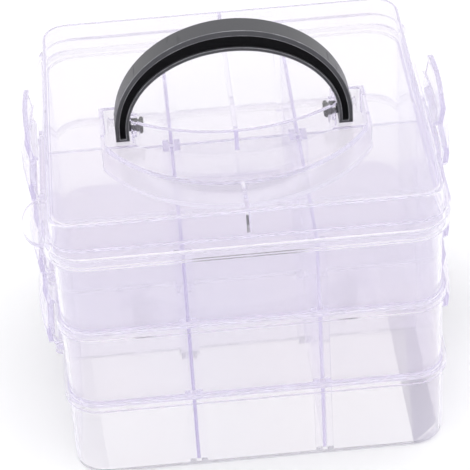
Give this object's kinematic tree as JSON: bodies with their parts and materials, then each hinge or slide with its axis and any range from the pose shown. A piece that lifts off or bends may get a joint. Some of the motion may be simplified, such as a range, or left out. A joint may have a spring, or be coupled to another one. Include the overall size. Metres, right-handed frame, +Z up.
{
  "type": "compartment organizer box",
  "caption": "Stackable clear plastic organizer box: trays with lift-out dividers, side latches, and a lid with a folding handle in a recess.",
  "frame": {"origin": "middle of the bottom tray's base, on the surface that the box stands on", "axes": "+X to the right, -Y to the front where the handle folds, +Z up"},
  "size_m": [0.1721, 0.1536, 0.1627],
  "materials": {
    "clear_plastic": "clear moulded polypropylene, faint lavender tint",
    "handle_grey": "satin grey moulding",
    "handle_black": "matt black grip inlay"
  },
  "bodies": {
    "tray_bottom": {"tray_bottom": "clear_plastic"},
    "tray_middle": {"tray_middle": "clear_plastic"},
    "tray_top": {"tray_top": "clear_plastic"},
    "lid": {"lid": "clear_plastic", "lid_tab": "clear_plastic"},
    "handle": {"handle": "handle_grey", "handle_inlay_front": "handle_black", "handle_inlay_back": "handle_black"},
    "latch_left_bottom": {"latch_left_bottom": "clear_plastic"},
    "latch_right_bottom": {"latch_right_bottom": "clear_plastic"},
    "latch_left_middle": {"latch_left_middle": "clear_plastic"},
    "latch_right_middle": {"latch_right_middle": "clear_plastic"},
    "latch_left_top": {"latch_left_top": "clear_plastic"},
    "latch_right_top": {"latch_right_top": "clear_plastic"},
    "divider_bottom_front_left": {"divider_bottom_front_left": "clear_plastic"},
    "divider_bottom_back_left": {"divider_bottom_back_left": "clear_plastic"},
    "divider_bottom_front_right": {"divider_bottom_front_right": "clear_plastic"},
    "divider_bottom_back_right": {"divider_bottom_back_right": "clear_plastic"},
    "divider_middle_front_left": {"divider_middle_front_left": "clear_plastic"},
    "divider_middle_back_left": {"divider_middle_back_left": "clear_plastic"},
    "divider_middle_front_right": {"divider_middle_front_right": "clear_plastic"},
    "divider_middle_back_right": {"divider_middle_back_right": "clear_plastic"},
    "divider_top_front_left": {"divider_top_front_left": "clear_plastic"},
    "divider_top_back_left": {"divider_top_back_left": "clear_plastic"},
    "divider_top_front_right": {"divider_top_front_right": "clear_plastic"},
    "divider_top_back_right": {"divider_top_back_right": "clear_plastic"}
  },
  "joints": [
    {"name": "tray_middle_lift", "type": "slide", "parent": "tray_bottom", "child": "tray_middle", "axis": [0, 0, 1], "range_m": [0, 0.06]},
    {"name": "divider_bottom_front_left_lift", "type": "slide", "parent": "tray_bottom", "child": "divider_bottom_front_left", "axis": [0, 0, 1], "range_m": [0, 0.036]},
    {"name": "divider_bottom_back_left_lift", "type": "slide", "parent": "tray_bottom", "child": "divider_bottom_back_left", "axis": [0, 0, 1], "range_m": [0, 0.036]},
    {"name": "divider_bottom_front_right_lift", "type": "slide", "parent": "tray_bottom", "child": "divider_bottom_front_right", "axis": [0, 0, 1], "range_m": [0, 0.036]},
    {"name": "divider_bottom_back_right_lift", "type": "slide", "parent": "tray_bottom", "child": "divider_bottom_back_right", "axis": [0, 0, 1], "range_m": [0, 0.036]},
    {"name": "latch_left_bottom_swing", "type": "hinge", "parent": "tray_bottom", "child": "latch_left_bottom", "pos_m": [-0.07798, 0, 0.0255], "axis": [0, -1, 0], "range_deg": [-4, 85]},
    {"name": "latch_right_bottom_swing", "type": "hinge", "parent": "tray_bottom", "child": "latch_right_bottom", "pos_m": [0.07798, 0, 0.0255], "axis": [0, 1, 0], "range_deg": [-4, 85]},
    {"name": "tray_top_lift", "type": "slide", "parent": "tray_middle", "child": "tray_top", "axis": [0, 0, 1], "range_m": [0, 0.06]},
    {"name": "divider_middle_front_left_lift", "type": "slide", "parent": "tray_middle", "child": "divider_middle_front_left", "axis": [0, 0, 1], "range_m": [0, 0.036]},
    {"name": "divider_middle_back_left_lift", "type": "slide", "parent": "tray_middle", "child": "divider_middle_back_left", "axis": [0, 0, 1], "range_m": [0, 0.036]},
    {"name": "divider_middle_front_right_lift", "type": "slide", "parent": "tray_middle", "child": "divider_middle_front_right", "axis": [0, 0, 1], "range_m": [0, 0.036]},
    {"name": "divider_middle_back_right_lift", "type": "slide", "parent": "tray_middle", "child": "divider_middle_back_right", "axis": [0, 0, 1], "range_m": [0, 0.036]},
    {"name": "latch_left_middle_swing", "type": "hinge", "parent": "tray_middle", "child": "latch_left_middle", "pos_m": [-0.07798, 0, 0.0615], "axis": [0, -1, 0], "range_deg": [-4, 60]},
    {"name": "latch_right_middle_swing", "type": "hinge", "parent": "tray_middle", "child": "latch_right_middle", "pos_m": [0.07798, 0, 0.0615], "axis": [0, 1, 0], "range_deg": [-4, 60]},
    {"name": "lid_lift", "type": "slide", "parent": "tray_top", "child": "lid", "axis": [0, 0, 1], "range_m": [0, 0.06]},
    {"name": "divider_top_front_left_lift", "type": "slide", "parent": "tray_top", "child": "divider_top_front_left", "axis": [0, 0, 1], "range_m": [0, 0.036]},
    {"name": "divider_top_back_left_lift", "type": "slide", "parent": "tray_top", "child": "divider_top_back_left", "axis": [0, 0, 1], "range_m": [0, 0.036]},
    {"name": "divider_top_front_right_lift", "type": "slide", "parent": "tray_top", "child": "divider_top_front_right", "axis": [0, 0, 1], "range_m": [0, 0.036]},
    {"name": "divider_top_back_right_lift", "type": "slide", "parent": "tray_top", "child": "divider_top_back_right", "axis": [0, 0, 1], "range_m": [0, 0.036]},
    {"name": "latch_left_top_swing", "type": "hinge", "parent": "tray_top", "child": "latch_left_top", "pos_m": [-0.07798, 0, 0.0975], "axis": [0, -1, 0], "range_deg": [-4, 60]},
    {"name": "latch_right_top_swing", "type": "hinge", "parent": "tray_top", "child": "latch_right_top", "pos_m": [0.07798, 0, 0.0975], "axis": [0, 1, 0], "range_deg": [-4, 60]},
    {"name": "handle_fold", "type": "hinge", "parent": "lid", "child": "handle", "pos_m": [0, -0.002, 0.11955], "axis": [1, 0, 0], "range_deg": [-6, 90]}
  ],
  "couplings": [
    {"joint": "divider_bottom_front_left_lift", "follows": "tray_middle_lift", "ratio": 0.6},
    {"joint": "divider_bottom_back_left_lift", "follows": "tray_middle_lift", "ratio": 0.6},
    {"joint": "divider_bottom_front_right_lift", "follows": "tray_middle_lift", "ratio": 0.6},
    {"joint": "divider_bottom_back_right_lift", "follows": "tray_middle_lift", "ratio": 0.6},
    {"joint": "divider_middle_front_left_lift", "follows": "tray_top_lift", "ratio": 0.6},
    {"joint": "divider_middle_back_left_lift", "follows": "tray_top_lift", "ratio": 0.6},
    {"joint": "divider_middle_front_right_lift", "follows": "tray_top_lift", "ratio": 0.6},
    {"joint": "divider_middle_back_right_lift", "follows": "tray_top_lift", "ratio": 0.6},
    {"joint": "divider_top_front_left_lift", "follows": "lid_lift", "ratio": 0.6},
    {"joint": "divider_top_back_left_lift", "follows": "lid_lift", "ratio": 0.6},
    {"joint": "divider_top_front_right_lift", "follows": "lid_lift", "ratio": 0.6},
    {"joint": "divider_top_back_right_lift", "follows": "lid_lift", "ratio": 0.6}
  ]
}
